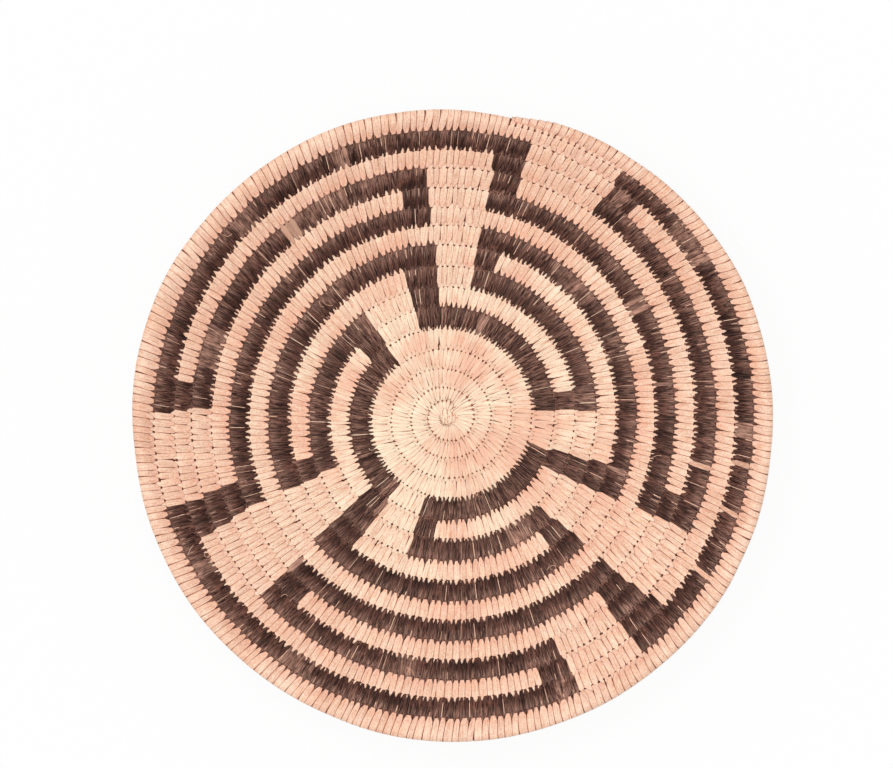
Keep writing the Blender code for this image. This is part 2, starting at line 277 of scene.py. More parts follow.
def plan_turn(number, before):
    """Edges, colours, points and seeds of one turn's stitches. Each run is shared out evenly
    and its inner edges are moved a little at random. A point goes towards the nearest gap of
    the turn before, less far where two points want the same one or where the colour there
    is the other. `over` marks the undyed stitches that pierce dark ones."""
    lows, highs, darks = [], [], []
    for start, end, dark in runs_of(number):
        steps = np.linspace(start, end, ARC_STEPS)
        pieces = radius_at((steps[1:] + steps[:-1]) / 2.0) * np.diff(steps) * math.tau
        arc = np.append(0.0, np.cumsum(pieces))
        width = DARK_WIDTHS[number] if dark else STITCH_WIDTHS[number]
        count = max(1, round(arc[-1] / (width * MM)))
        edges = np.interp(np.linspace(0.0, arc[-1], count + 1), arc, steps)
        jitter = luck.normal(0.0, WIDTH_JITTER, count - 1).clip(-WIDTH_LIMIT, WIDTH_LIMIT)
        edges[1:-1] += jitter * (end - start) / count
        lows.append(edges[:-1])
        highs.append(edges[1:])
        darks.append(np.full(count, dark))
    low, high, dark = map(np.concatenate, (lows, highs, darks))
    middle = (low + high) / 2.0
    half = coil_size(middle)[1]
    around = math.tau * radius_at(middle)
    jitter = FIRST_LEAN_JITTER_DEGREES if number < FIRST_TURNS else LEAN_JITTER_DEGREES
    lean = np.tan(np.radians(LEAN_DEGREES[number] + luck.normal(0.0, jitter, len(low))))
    jitter = luck.normal(0.0, REACH_JITTER, len(low)).clip(-REACH_LIMIT, REACH_LIMIT)
    reach = REACH * (1.0 + jitter)
    if number == 1:
        reach *= FIRST_REACH_SHARE
    aim = middle + lean * (half + reach) / around
    point = aim.copy()
    over = np.zeros(len(aim), bool)
    if before is not None:
        gaps = before["gaps"] + 1.0
        nearest = np.abs(gaps[None, :] - aim[:, None]).argmin(axis=1)
        alone = np.ones(len(aim), bool)
        alone[1:] &= nearest[1:] != nearest[:-1]
        alone[:-1] &= nearest[:-1] != nearest[1:]
        near = np.abs(gaps[nearest] - aim) < (high - low)
        other = before["dark"][nearest] != dark
        over = other & ~dark
        pull = np.where(alone, LONE_PULL, SHARED_PULL) * np.where(other, OTHER_PULL, 1.0)
        point += (gaps[nearest] - aim) * pull * near
    wide_share = WIDE_GAP_SHARE * (number >= INNER_TURNS)
    return dict(
        number=number, low=low, high=high, dark=dark, over=over, lean=lean, reach=reach, aim=aim,
        point=point, around=around, back_point=np.r_[point[0] - (high[0] - low[0]), point[:-1]],
        seed=luck.random(len(low)), tone=luck.normal(0.0, 1.0, len(low)),
        gap=np.where(luck.random(len(low)) < wide_share, WIDE_GAP, 0.0),
        gaps=high - lean * half * GAP_PLACE_SHARE / around,
    )


plans = []
for number in TURNS:
    plans.append(plan_turn(number, plans[-1] if plans else None))
print("stitches:", sum(len(plan["low"]) for plan in plans),
      "by turn:", [len(plan["low"]) for plan in plans])

# %% [markdown]
# ## The shape of a stitch
#
# A stitch is a flat splint bent round the bundle: it comes up between two stitches of the
# turn before, widens as it crosses the valley, lies flat over the crown, turns down over
# the outer edge and comes back underneath to another point. Where the next turn's tongues
# pierce, it is pinched to a waist, and a small pit opens beside each tongue. Thousands of
# bevelled curves would be slow. Here one small table gives the way round and the width, and
# all stitches of a turn are worked out at once, as grids of four columns.

# %% The way round the coil, and the bands that follow it
# Each row: how much of the reach it lies behind the inner edge, its place across as a share
# of half the width, its lift as a share of half the thickness, and its width as a share of
# the stitch's. First the upper side, from the hidden inner end to the outer edge, then the
# underside, back to the inner end. The rim has its own rows, as no later turn pinches it.
UPPER_ROWS = 13
WAY_SHARES = np.array((
    (1.1, -1, 0.45, 0.36), (1.02, -1, 0.88, 0.42), (0.9, -1, 0.935, 0.47), (0.5, -1, 0.925, 0.6),
    (0, -1, 0.905, 0.85), (0, -0.9, 0.905, 1), (0, -0.3, 1, 1), (0, 0.25, 0.99, 1),
    (0, 0.48, 0.955, 1), (0, 0.57, 0.925, 0.56), (0, 0.7, 0.895, 0.82), (0, 1, 0.84, 0.76),
    (0, 1.04, 0, 0.6),
    (0, 1, 0.84, 0.72), (0, 0.77, 0.885, 0.76), (0, 0.61, 0.94, 1), (0, 0, 1, 1),
    (0, -0.85, 0.91, 1), (0.8, -1, 0.935, 0.62), (1.1, -1, 0.45, 0.36),
))
RIM_WAY_SHARES = np.array((
    (1.1, -1, 0.45, 0.36), (1.02, -1, 0.88, 0.44), (0.9, -1, 0.935, 0.5), (0.5, -1, 0.925, 0.65),
    (0, -1, 0.905, 0.87), (0, -0.88, 0.92, 0.96), (0, -0.3, 0.99, 1), (0, 0.1, 1, 1),
    (0, 0.45, 0.94, 1), (0, 0.7, 0.79, 1), (0, 0.87, 0.57, 1), (0, 0.97, 0.29, 0.99),
    (0, 1, 0, 0.98),
    (0, 0.95, 0.38, 0.99), (0, 0.75, 0.74, 1), (0, 0.4, 0.95, 1), (0, -0.1, 1, 1),
    (0, -0.85, 0.91, 1), (0.8, -1, 0.935, 0.62), (1.1, -1, 0.45, 0.36),
))
# the waist's row; in the inner turns its width, and the place of the row before it
PIT_ROW, INNER_PIT_SHARE, ABOVE_PIT_SHARE = 9, 0.54, 0.42
# tongues are narrower up to turn 9, and in turn 14 blunter over dark stitches: the first
# rows' widths are multiplied by these
POINTED_TURNS, POINTED_SHARES = 10, (0.80, 0.82, 0.85, 0.92)
BLUNT_TURN, BLUNT_SHARES = 14, (1.2, 1.2, 1.2, 1.2, 1.12)
# the two tightest turns keep the waist as far from the outer edge as a coil this wide has it
FULL_HALF = 5.175 * MM
OUTER_ROWS_FROM, KEPT_FROM = 0.2, -0.1  # places across, as in the table
ACROSS = np.array((-1.0, -0.72, 0.72, 1.0))
EDGE_TUCK = 0.07 * MM
POINT_BLEND = 2.6 * MM


def running(steps):
    """The sum of the steps so far along each row, from 0."""
    return np.concatenate([np.zeros((len(steps), 1)), np.cumsum(steps, axis=1)], axis=1)


def stitch_bands(plan, chosen, table, raised=0.0):
    """Points of the chosen stitches, as an array of stitch, step of the way, column and
    coordinate. The upper rows lean forward and bend to the stitch's point; the underside's
    lean back to the point of the stitch before. Columns spread along the coil, and the outer
    ones are tucked in along the way's normal, by EDGE_TUCK times the cube of their place.
    Also hands back the way along each stitch, and the chosen plan."""
    pick = {k: v[chosen] for k, v in plan.items()
            if isinstance(v, np.ndarray) and len(v) == len(chosen)}
    middle = (pick["low"] + pick["high"]) / 2.0
    centre, half, thick = (v[:, None] for v in coil_size(middle))
    reach, lean, around = (pick[k][:, None] for k in ("reach", "lean", "around"))
    table = np.broadcast_to(table, (len(middle), *np.shape(table)[-2:]))
    top = np.arange(table.shape[1]) < UPPER_ROWS
    sign = np.where(top, 1.0, -1.0)
    across = half * table[..., 1] - reach * table[..., 0]
    lift = thick * table[..., 2] * sign
    inward = ramp((-half + POINT_BLEND / 2.0 - across) / (POINT_BLEND / 2.0 + reach))
    pushed = (pick["point"] - pick["aim"])[:, None]
    front = middle[:, None] - lean * across / around + inward * pushed
    share = (half - across) / (2.0 * half + reach)
    edge = middle[:, None] - lean * half / around
    back = edge + share * (pick["back_point"][:, None] - edge)
    place = np.where(top, front, back)
    wide = (pick["high"] - pick["low"])[:, None] / 2.0 - pick["gap"][:, None] / 2.0 / around
    wide = wide * table[..., 3]
    slope = np.stack([np.gradient(across, axis=1), np.gradient(lift, axis=1)], axis=-1)
    slope /= np.linalg.norm(slope, axis=-1, keepdims=True)
    out = np.stack([-slope[..., 1], slope[..., 0]], axis=-1)
    tuck = raised - EDGE_TUCK * np.abs(ACROSS) ** 3 * table[..., 3:4]
    along = (centre + across)[..., None] + out[..., 0:1] * tuck
    height = lift[..., None] + out[..., 1:2] * tuck
    turn = place[..., None] + wide[..., None] * ACROSS
    way = running(np.hypot(np.diff(across, axis=1), np.diff(lift, axis=1)))
    return dish_point(along, height, turn), way, pick


def ring_quads(rows, columns):
    """The quads between rows of points that each close to a ring."""
    row, column = np.meshgrid(np.arange(rows - 1), np.arange(columns), indexing="ij")
    ahead = (column + 1) % columns
    return np.stack([row * columns + column, row * columns + ahead, (row + 1) * columns + ahead,
                     (row + 1) * columns + column], axis=-1).reshape(-1, 4)


def band_faces(count, steps, columns):
    """Quads of `count` bands that close underneath, with a quad at each end. There are four
    columns."""
    sides = ring_quads(steps, columns)[:, [0, 3, 2, 1]]
    first = np.arange(columns)[None]
    last = (steps - 1) * columns + np.arange(columns)[::-1][None]
    one = np.concatenate([sides, first, last])
    return (one[None] + (np.arange(count) * steps * columns)[:, None, None]).reshape(-1, 4)


def tube_faces(rows, columns):
    """A list of the quads between the rings of a tube, and of a cap at each end."""
    caps = [list(range(columns))[::-1], [(rows - 1) * columns + i for i in range(columns)]]
    return ring_quads(rows, columns).tolist() + caps


print("faces of one stitch:", len(band_faces(1, len(WAY_SHARES), len(ACROSS))))

# %% [markdown]
# ## From arrays to an object
#
# Points and faces are all that Blender needs. The helper also stores a UV map, so that the
# fibres can run along each splint, and a few numbers that the materials read: a seed for
# each stitch, its tone, and how faded it is. Blender's own tools could build each stitch,
# but one call for each turn is far quicker.

# %% One helper makes every piece
scene = bpy.context.scene


def make_piece(name, points, faces, uv=None, numbers=None, material=None, sharp_columns=0):
    """A mesh object at the origin from arrays. The UV map is given for each point. The sides
    of bands with this many columns are sharp, so that their tops don't shade as if round."""
    mesh = bpy.data.meshes.new(name)
    mesh.from_pydata(points.reshape(-1, 3), [], faces)
    if uv is not None:
        corner = np.empty(len(mesh.loops), np.int32)
        mesh.loops.foreach_get("vertex_index", corner)
        layer = mesh.uv_layers.new(name="splint_map")
        layer.uv.foreach_set("vector", uv.reshape(-1, 2)[corner].astype(np.float32).ravel())
    for key, values in (numbers or {}).items():
        mesh.attributes.new(key, "FLOAT", "POINT").data.foreach_set(
            "value", np.broadcast_to(values, points.shape[:-1]).astype(np.float32).ravel())
    mesh.shade_smooth()
    if sharp_columns:
        ends = np.empty(2 * len(mesh.edges), np.int32)
        mesh.edges.foreach_get("vertices", ends)
        column = ends.reshape(-1, 2) % sharp_columns
        side = (column[:, 0] == column[:, 1]) & np.isin(column[:, 0], (0, sharp_columns - 1))
        mesh.attributes.new("sharp_edge", "BOOLEAN", "EDGE").data.foreach_set("value", side)
    mesh.materials.append(material)
    piece = bpy.data.objects.new(name, mesh)
    scene.collection.objects.link(piece)
    return piece


def make_bands(name, points, along, across, material, sharp=True, **numbers):
    """A piece of bands, from their points, the UV map's two numbers for each, and the numbers
    of each band for the materials."""
    numbers = {key: np.reshape(value, (-1, 1, 1)) for key, value in numbers.items()}
    return make_piece(name, points, band_faces(*points.shape[:3]), joined(along, across), numbers,
                      material, points.shape[2] if sharp else 0)


# %% [markdown]
# ## Materials
#
# Palm splint is a strip of leaf: pale cream, with fibres that run along it, a slight sheen,
# and a brown line between one stitch and the next that is partly dirt settled there and partly
# painted shade. The dark splint is the same leaf, dyed unevenly. Some shade and light is
# painted into the colours as well: in the creases and valleys between stitches, and paler
# towards the crown of each undyed coil. Both materials read the splint's own UV map, x along
# the splint in millimetres and y across it from 0 to 1, so the fibres turn with every stitch.
# One noise over the whole tray would be simpler, but its streaks would ignore the stitches.

# %% Small helpers for node trees
def linear(*colours):
    """Colours written as 0 to 255 in sRGB, as the shader wants them."""
    value = np.array(colours) / 255.0
    value = np.where(value <= 0.04045, value / 12.92, ((value + 0.055) / 1.055) ** 2.4)
    return [(*row, 1.0) for row in value.tolist()]


def add(tree, kind, inputs=None, output=0, **settings):
    """One node, its inputs set or linked by name or number. Hands back one output."""
    node = tree.nodes.new("ShaderNode" + kind)
    for key, value in settings.items():
        setattr(node, key, value)
    for key, value in (inputs or {}).items():
        if isinstance(value, bpy.types.NodeSocket):
            tree.links.new(value, node.inputs[key])
        else:
            node.inputs[key].default_value = value
    return node.outputs[output]


def maths(tree, operation, a, b=0.0, c=0.0):
    """One sum, by Blender's name for it."""
    return add(tree, "Math", {0: a, 1: b, 2: c}, operation=operation)


def times(tree, first, *others):
    for other in others:
        first = maths(tree, "MULTIPLY", first, other)
    return first


def blend(tree, share, a, b, how="MIX"):
    """Two colours mixed by a share."""
    return add(tree, "Mix", {0: share, 6: a, 7: b}, 2, data_type="RGBA", blend_type=how)


def span(tree, value, low, high, to_low=0.0, to_high=1.0):
    """A value carried smoothly from one range to another."""
    return add(tree, "MapRange", {0: value, 1: low, 2: high, 3: to_low, 4: to_high},
               interpolation_type="SMOOTHSTEP")


def layered(tree, colour, *layers):
    """Colours laid over one another. A layer is its colour, what its share depends on, and the
    range for `span` that turns that into the share, unless it is the share itself."""
    for tint, value, *limits in layers:
        colour = blend(tree, span(tree, value, *limits) if limits else value, colour, tint)
    return colour


def noise(tree, place, scale, detail, roughness=0.5):
    return add(tree, "TexNoise", {"Vector": place, "Scale": scale, "Detail": detail,
                                  "Roughness": roughness})


def stored(tree, name):
    """A number that the mesh holds for each point."""
    return add(tree, "Attribute", output=2, attribute_name=name)


def spot_and_way(tree):
    """The place on the tray, and how far it is from the axis, both in metres."""
    spot = add(tree, "TexCoord", output=3)
    level = add(tree, "VectorMath", {0: spot, 1: (1.0, 1.0, 0.0)}, operation="MULTIPLY")
    return spot, add(tree, "VectorMath", {0: level}, 1, operation="LENGTH")


def relief(tree, shader, height, strength, depth):
    bump = add(tree, "Bump", {"Height": height, "Strength": strength, "Distance": depth})
    tree.links.new(bump, shader.inputs["Normal"])


def new_material(name):
    made = bpy.data.materials.new(name)
    made.use_nodes = True
    return made, made.node_tree, made.node_tree.nodes["Principled BSDF"]


# %% Fibres that run along a splint
TIP_END = 1.82  # mm of each stitch, from its hidden inner end, that lie in the pit's shadow
SEED_STEP = 91.0  # how far apart in the noise two seeds can be
FIBRE_DEPTH = 0.15 * MM


def splint_parts(tree):
    """Fine and coarse fibre noise, the way off the middle line (1 at the edges), the way along
    the splint in mm, thin lines, and the stitch's own offset. The noise is read at a place
    whose steps along the splint are short and across it long, so it draws out into streaks,
    and the offset moves it elsewhere for each stitch."""
    place = add(tree, "UVMap", uv_map="splint_map")
    x, y = (add(tree, "SeparateXYZ", {0: place}, axis) for axis in (0, 1))
    far = times(tree, stored(tree, "seed"), SEED_STEP)

    def drawn_out(along, across):
        return add(tree, "CombineXYZ",
                   {0: times(tree, x, along), 1: times(tree, y, across), 2: far})

    fine = noise(tree, drawn_out(0.16, 7.5), 1.0, 3.0, 0.6)
    coarse = noise(tree, drawn_out(0.09, 2.2), 1.0, 2.0)
    thin = maths(tree, "SUBTRACT", noise(tree, drawn_out(0.05, 4.5), 1.0, 1.0), 0.5)
    thin = span(tree, maths(tree, "ABSOLUTE", thin), 0.006, 0.030, 1.0, 0.0)
    off = maths(tree, "ABSOLUTE", maths(tree, "MULTIPLY_ADD", y, 2.0, -1.0))
    return fine, coarse, off, x, thin, far


def toned(tree, colour, spread, middle):
    """The colour times the stitch's own tone, whose spread lies about a middle."""
    tone = maths(tree, "MULTIPLY_ADD", stored(tree, "tone"), spread, middle)
    tone = add(tree, "CombineXYZ", {0: tone, 1: tone, 2: tone})
    return add(tree, "VectorMath", {0: colour, 1: tone}, operation="MULTIPLY")


def finish_splint(tree, shader, colour, fine, coarse, roughest, shine, strength):
    """The colour, a sheen that is duller on the fibres, and the fibres' relief."""
    tree.links.new(colour, shader.inputs["Base Color"])
    tree.links.new(span(tree, fine, 0.3, 0.7, 0.50, roughest), shader.inputs["Roughness"])
    shader.inputs["Specular IOR Level"].default_value = shine
    height = maths(tree, "ADD", fine, times(tree, coarse, 0.6))
    relief(tree, shader, height, strength, FIBRE_DEPTH)


# %% The undyed splint
CREAM, PINK, RIM_PINK = linear((255, 235, 205), (250, 206, 179), (253, 211, 185))
BLOTCH, FIBRE, PALE_FIBRE = linear((245, 195, 167), (228, 168, 136), (255, 230, 204))
THIN_LINE, GRAIN, PALE_GRAIN = linear((208, 143, 113), (216, 152, 122), (255, 236, 212))
# painted light along a stitch: the inner tint is a pinker painted shade towards the valley, the
# outer a paler painted light towards the crown and outer edge
VALLEY_SHADE_TINT, CROWN_LIGHT_TINT = (0.97, 0.90, 0.89, 1.0), (1.0, 1.03, 1.035, 1.0)
# the first of these is a pink painted shade along a stitch's sides, the last a pink painted shade
# on the knot's lower sides; the bruises are the knot splint's own marks
SIDE_SHADE_PINK, BRUISE, KNOT_LOW_SHADE = linear((230, 156, 128), (222, 140, 110), (224, 142, 112))
# the line along a stitch's edges: partly dirt and partly painted shade between stitches
INNER_DIRT_AND_SHADE, DIRT_AND_SHADE = linear((232, 150, 120), (150, 82, 56))
INNER_SHADE, SHADE = linear((160, 84, 58), (118, 52, 36))


def natural_splint(name, bruises_and_low_shade):
    """Cream near the centre and pinker further out, with fibres, thin lines and, away from the
    centre, a grain; painted light along the stitch, a pinker painted shade towards the valley
    at its inner end and paler painted light towards the crown and outer edge; a tone for each
    stitch; a pink painted shade along its sides, stronger near the inner end; a broken line
    along its edges that is partly dirt and partly painted shade; and the pit's shade at its
    tip. The last argument, from 0 to 1, sets the bruises and a pink painted shade on the lower
    sides of a splint that is twisted into a knot."""
    made, tree, shader = new_material(name)
    fine, coarse, off, x, thin, far = splint_parts(tree)
    spot, away = spot_and_way(tree)
    fleck = noise(tree, spot, 1100.0, 1.0)
    grain = span(tree, away, 0.03, 0.08, 0.14, 0.36)
    colour = layered(
        tree, CREAM, (PINK, away, 0.02, 0.15), (RIM_PINK, away, 0.140, 0.148),
        (BLOTCH, noise(tree, spot, 34.0, 3.0), 0.42, 0.66), (FIBRE, fine, 0.46, 0.70),
        (PALE_FIBRE, coarse, 0.30, 0.46, 0.45, 0.0),
        (THIN_LINE, times(tree, thin, span(tree, away, 0.03, 0.09, 0.15, 0.50))),
        (GRAIN, times(tree, grain, span(tree, fleck, 0.52, 0.70))),
        (PALE_GRAIN, times(tree, grain, span(tree, fleck, 0.48, 0.30))))
    # painted light along the stitch: shade towards the inner end, light towards the outer; near the
    # centre it stays at least halfway to the outer light
    share = maths(tree, "MAXIMUM", span(tree, x, 2.5, 9.5), span(tree, away, 0.03, 0.06, 0.55, 0.0))
    colour = blend(tree, 1.0, colour, blend(tree, share, VALLEY_SHADE_TINT, CROWN_LIGHT_TINT), "MULTIPLY")
    colour = toned(tree, colour, 0.028, 0.992)
    # the edge line, partly dirt and partly painted shade between stitches
    line = span(tree, maths(tree, "ADD", off, times(tree, coarse, 0.14)), 0.92, 1.04)
    here = add(tree, "CombineXYZ", {0: times(tree, x, 0.22), 1: 3.0, 2: far})
    least = maths(tree, "MAXIMUM", span(tree, away, 0.04, 0.10, 0.06, 0.74),
                  span(tree, away, 0.142, 0.147, 0.0, 0.85))
    partly = maths(tree, "MAXIMUM", least, span(tree, noise(tree, here, 1.0, 1.0), 0.36, 0.62))
    bruise = maths(tree, "MULTIPLY_ADD", fine, 0.5, times(tree, fleck, 0.5))
    height = add(tree, "SeparateXYZ", {0: spot}, 2)
    # how much pink painted shade the knot's lower sides get, by height
    low = span(tree, height, 0.0042, 0.0064, bruises_and_low_shade, 0.0)
    colour = layered(
        tree, colour,
        # pink painted shade along the sides, stronger near the inner end
        (SIDE_SHADE_PINK, times(tree, span(tree, off, 0.70, 0.97), span(tree, x, 3.4, 5.8, 0.50, 0.20))),
        # the edge line: dirt, with painted shade
        (layered(tree, INNER_DIRT_AND_SHADE, (DIRT_AND_SHADE, away, 0.03, 0.13)), times(tree, line, partly)),
        (BRUISE, bruise, 0.46, 0.60, 0.0, bruises_and_low_shade),
        # pink painted shade on the knot's lower sides
        (KNOT_LOW_SHADE, times(tree, low, span(tree, height, 0.0026, 0.0036))),
        (layered(tree, INNER_SHADE, (SHADE, away, 0.015, 0.06)),
         x, TIP_END - 0.12, TIP_END + 0.12, 1.0, 0.0))
    finish_splint(tree, shader, colour, fine, coarse, 0.66, 0.30, 0.55)
    return made


# %% The dyed splint
DYE, DYED_FIBRE, DEEP_FIBRE = linear((35, 18, 14), (115, 77, 66), (34, 15, 11))
MOTTLE, DEEP_CLOUD = linear((128, 84, 70), (38, 18, 14))
INNER_FIBRE, INNER_DEEP = linear((156, 116, 100), (58, 34, 28))
# the first is a paler colour towards the outer end of a stitch
PALER_OUT_END, PALE_LINE = linear((180, 137, 120), (182, 142, 125))
WORN, WORN_FIBRE = linear((112, 80, 69), (194, 148, 128))
BARE, BARE_FIBRE = linear((246, 200, 172), (205, 150, 124))
BARE_GRAIN, BARE_LINE = linear((208, 150, 124), (196, 140, 114))
# the first is a painted shade along a stitch's edges
DARK_EDGE_SHADE, DARK_TIP = linear((36, 20, 16), (172, 124, 104))


def dark_splint():
    """Dark brown with lighter and darker fibres, mottled and clouded, a little lighter near the
    centre, and paler towards the outer end of the stitch, most at its edges; a painted shade
    darkens its edges towards the inner end. Where the fade number is above 0 the dye is worn in
    streaks, not evenly, and near 1 the leaf is bare."""
    made, tree, shader = new_material("dark_dyed_palm_splint")
    fine, coarse, off, x, thin, _ = splint_parts(tree)
    spot, away = spot_and_way(tree)
    mottle = noise(tree, spot, 260.0, 4.0)
    near = span(tree, away, 0.045, 0.08, 1.0, 0.0)
    # paler towards the outer end of the stitch, most at its edges and not near the centre
    paler_out_end = times(tree, span(tree, x, 6.5, 13.0, 0.0, 0.75),
                   maths(tree, "MULTIPLY_ADD", near, -1.0, 1.0),
                   span(tree, off, 0.25, 0.95, 0.16, 1.0), span(tree, fine, 0.40, 0.58, 0.08, 0.95))
    pale = times(tree, thin, span(tree, x, 4.0, 11.0, 0.10, 0.70),
                 maths(tree, "MULTIPLY_ADD", near, -0.5, 1.0))
    fade = stored(tree, "fade")
    patchy = maths(tree, "SUBTRACT", maths(tree, "ADD", coarse, mottle), 1.0)
    patchy = maths(tree, "MULTIPLY_ADD", patchy, 1.1, fade)
    worn = layered(tree, WORN, (WORN_FIBRE, fine, 0.36, 0.64))
    bare = layered(tree, BARE, (BARE_FIBRE, fine, 0.42, 0.62),
                   (BARE_GRAIN, noise(tree, spot, 1100.0, 1.0), 0.48, 0.66, 0.0, 0.40),
                   (BARE_LINE, times(tree, thin, 0.5)))
    colour = layered(
        tree, DYE, (DYED_FIBRE, fine, 0.40, 0.62), (DEEP_FIBRE, coarse, 0.48, 0.66, 0.0, 0.75),
        (MOTTLE, mottle, 0.52, 0.72, 0.0, 0.50),
        (DEEP_CLOUD, noise(tree, spot, 75.0, 2.0), 0.48, 0.66, 0.0, 0.55),
        (INNER_FIBRE, times(tree, near, span(tree, fine, 0.48, 0.56, 0.0, 0.70))),
        (INNER_DEEP, times(tree, near, span(tree, coarse, 0.50, 0.42, 0.0, 0.75))),
        (PALER_OUT_END, paler_out_end), (PALE_LINE, pale),
        (worn, times(tree, span(tree, patchy, 0.10, 0.80), span(tree, fade, 0.0, 0.10))),
        (bare, fade, 0.78, 0.90))
    # painted shade along the edges, strongest towards the inner end
    line = times(tree, span(tree, off, 0.90, 1.00, 0.0, 0.75), span(tree, x, 6.5, 10.0, 1.0, 0.15))
    tip = times(tree, span(tree, x, TIP_END - 0.05, TIP_END + 0.25, 1.0, 0.0),
                span(tree, mottle, 0.44, 0.58, 0.15, 0.85))
    colour = layered(tree, toned(tree, colour, 0.16, 1.0), (DARK_EDGE_SHADE, line), (DARK_TIP, tip))
    finish_splint(tree, shader, colour, fine, coarse, 0.68, 0.08, 0.8)
    return made


# %% The grass inside
# straw darkened as painted shade of the gaps and pits it shows in; less dark near the centre
GAP_SHADE_STRAW, GAP_SHADE_STEM = linear((82, 38, 27), (124, 69, 51))
CENTRE_GAP_SHADE_STRAW, CENTRE_GAP_SHADE_STEM = linear((160, 86, 60), (190, 114, 86))


def grass():
    """Thin streaks along the bundle, some stems paler than others, all dark brown as painted
    shade of the gaps and pits where the bundle shows, and less dark in the middle of the tray."""
    made, tree, shader = new_material("grass_bundle_straw")
    place = add(tree, "UVMap", uv_map="splint_map")
    place = add(tree, "VectorMath", {0: place, 1: (0.05, 9.0, 1.0)}, operation="MULTIPLY")
    fine = noise(tree, place, 1.0, 4.0)
    gap_shade_straw = layered(tree, GAP_SHADE_STRAW, (GAP_SHADE_STEM, fine, 0.35, 0.65))
    centre_gap_shade_straw = layered(tree, CENTRE_GAP_SHADE_STRAW, (CENTRE_GAP_SHADE_STEM, fine, 0.35, 0.65))
    colour = layered(tree, centre_gap_shade_straw, (gap_shade_straw, spot_and_way(tree)[1], 0.010, 0.045))
    tree.links.new(colour, shader.inputs["Base Color"])
    shader.inputs["Roughness"].default_value = 0.6
    shader.inputs["Specular IOR Level"].default_value = 0.3
    relief(tree, shader, fine, 0.6, 0.2 * MM)
    return made


undyed = natural_splint("undyed_palm_splint", 0.0)
twisted = natural_splint("twisted_palm_splint", 0.8)
dyed, straw = dark_splint(), grass()
print("materials:", [m.name for m in (undyed, twisted, dyed, straw)])

# %% [markdown]
# ## The grass bundle
#
# Inside the stitches lies the bundle. It shows only as a brown line in the gaps, and in the
# pits beside the points. It could be hundreds of loose stems, but only its skin shows, so it
# is one long tube with a lobe for each stem, and the lobes wind slowly round it.

# %% One long lobed tube through all the turns
GRASS_STEPS = 84
GRASS_COLUMNS = 28
GRASS_LOBES, GRASS_STRIPES = 9, 3.0
GRASS_START, GRASS_END = COIL_TIP - 0.01, 15.945
GRASS_INSET = 0.50 * MM
GRASS_OVERLAP = 0.12 * MM
GRASS_CLOSING_TURNS, GRASS_TIP_SHARE = 0.01, 0.02
LOBE_DEPTH, LOBE_WINDING = 0.16 * MM, 9.0  # the winding is in radians for each turn
OVAL_POWER = 0.75  # below 1 the outline is squarer than an ellipse


def grass_bundle():
    """A tube on the coil. Its outline is an oval with a ripple, thinner than the coil but wide
    enough to meet the turns beside it, so that no light comes through. It shrinks to a point
    at each end."""
    turn = np.linspace(GRASS_START, GRASS_END, int((GRASS_END - GRASS_START) * GRASS_STEPS))
    centre, half, thick = coil_size(turn)
    close = np.minimum(turn - GRASS_START, GRASS_END - turn) / GRASS_CLOSING_TURNS
    close = np.sqrt(np.clip(close, GRASS_TIP_SHARE, 1.0))
    angle = np.linspace(0.0, math.tau, GRASS_COLUMNS, endpoint=False)
    ripple = LOBE_DEPTH * np.cos(GRASS_LOBES * angle[None] + LOBE_WINDING * turn[:, None])
    side = np.sign(np.cos(angle)) * np.abs(np.cos(angle)) ** OVAL_POWER
    rise = np.sign(np.sin(angle)) * np.abs(np.sin(angle)) ** OVAL_POWER
    outward = np.where(turn > END_TURN - 1.0, -GRASS_INSET, GRASS_OVERLAP)[:, None]
    reach = np.where(side > 0.0, outward, GRASS_OVERLAP)
    across = (half[:, None] + reach + ripple) * side * close[:, None]
    lift = ((thick - GRASS_INSET)[:, None] + ripple) * rise * close[:, None]
    points = dish_point(centre[:, None] + across, lift, turn[:, None] + 0.0 * across)
    way = np.cumsum(math.tau * radius_at(turn) * np.gradient(turn)) / MM
    uv = joined(way[:, None], angle[None] / math.tau * GRASS_STRIPES)
    faces = tube_faces(len(turn), GRASS_COLUMNS)
    return make_piece("grass_bundle", points, faces, uv, None, straw)


bundle = grass_bundle()
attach(bundle, "root")
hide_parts("grass_foundation_coil")
print("grass faces:", len(bundle.data.polygons))

# %% [markdown]
# ## The stitches, turn by turn
#
# In every turn the undyed stitches are one piece and the dark ones another, and each stands
# for the CAD solid of the same colour in the same turn. One piece for all of a colour would
# do for a picture, but then no turn could be taken apart.

# %% Sew every turn
BINDING_MARGIN = 0.004


def fade_of(number, middle):
    """How faded each stitch is, from the list of faded places."""
    fade = np.zeros(len(middle))
    for turn, first, last, share in FADED:
        if turn == number:
            inside = (middle > turn_of(number, first)) & (middle < turn_of(number, last))
            fade[inside] = share
    return fade


